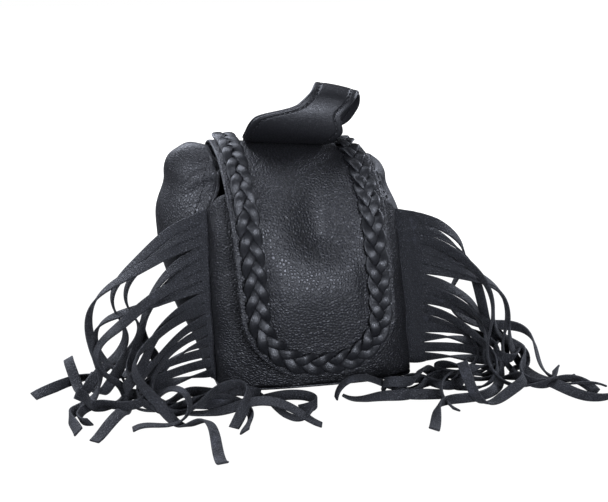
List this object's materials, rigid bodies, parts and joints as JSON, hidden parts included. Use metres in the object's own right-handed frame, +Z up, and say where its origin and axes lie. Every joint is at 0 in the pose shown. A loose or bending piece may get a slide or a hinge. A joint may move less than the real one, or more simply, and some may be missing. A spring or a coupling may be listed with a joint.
{
  "type": "fringed leather pouch",
  "caption": "Soft leather pouch with a plait-edged front flap that folds open, a stitched strap loop on top, and a cut leather fringe sewn into each front seam.",
  "frame": {"origin": "on the floor, under the middle of the bottom panel", "axes": "+Z up, the flap's front towards -Y, +X to the right as the front is seen"},
  "size_m": [0.3895, 0.2392, 0.1836],
  "materials": {
    "pebbled_leather": "black milled pebble grain, semi-matte",
    "smooth_leather": "black fine grain, soft sheen",
    "lace_leather": "black lace, soft sheen on the crowns",
    "fringe_leather": "black, matte suede-like cut strips",
    "snap_metal": "nickel plated"
  },
  "bodies": {
    "bag": {"front_panel": "pebbled_leather", "left_gusset": "smooth_leather", "right_gusset": "smooth_leather", "back_panel": "smooth_leather", "bottom_panel": "smooth_leather", "snap_plate": "snap_metal", "left_fringe": "fringe_leather", "right_fringe": "fringe_leather"},
    "flap": {"flap_outer": "pebbled_leather", "flap_lining": "smooth_leather", "plait_strand_1": "lace_leather", "plait_strand_2": "lace_leather", "plait_strand_3": "lace_leather", "strap_lining": "smooth_leather", "strap_face": "smooth_leather", "snap_socket": "snap_metal"}
  },
  "joints": [
    {"name": "flap_fold", "type": "hinge", "parent": "bag", "child": "flap", "pos_m": [-0.01024, 0.0331, 0.1384], "axis": [-0.9981, 0, 0.0619], "range_deg": [0, 160]}
  ]
}
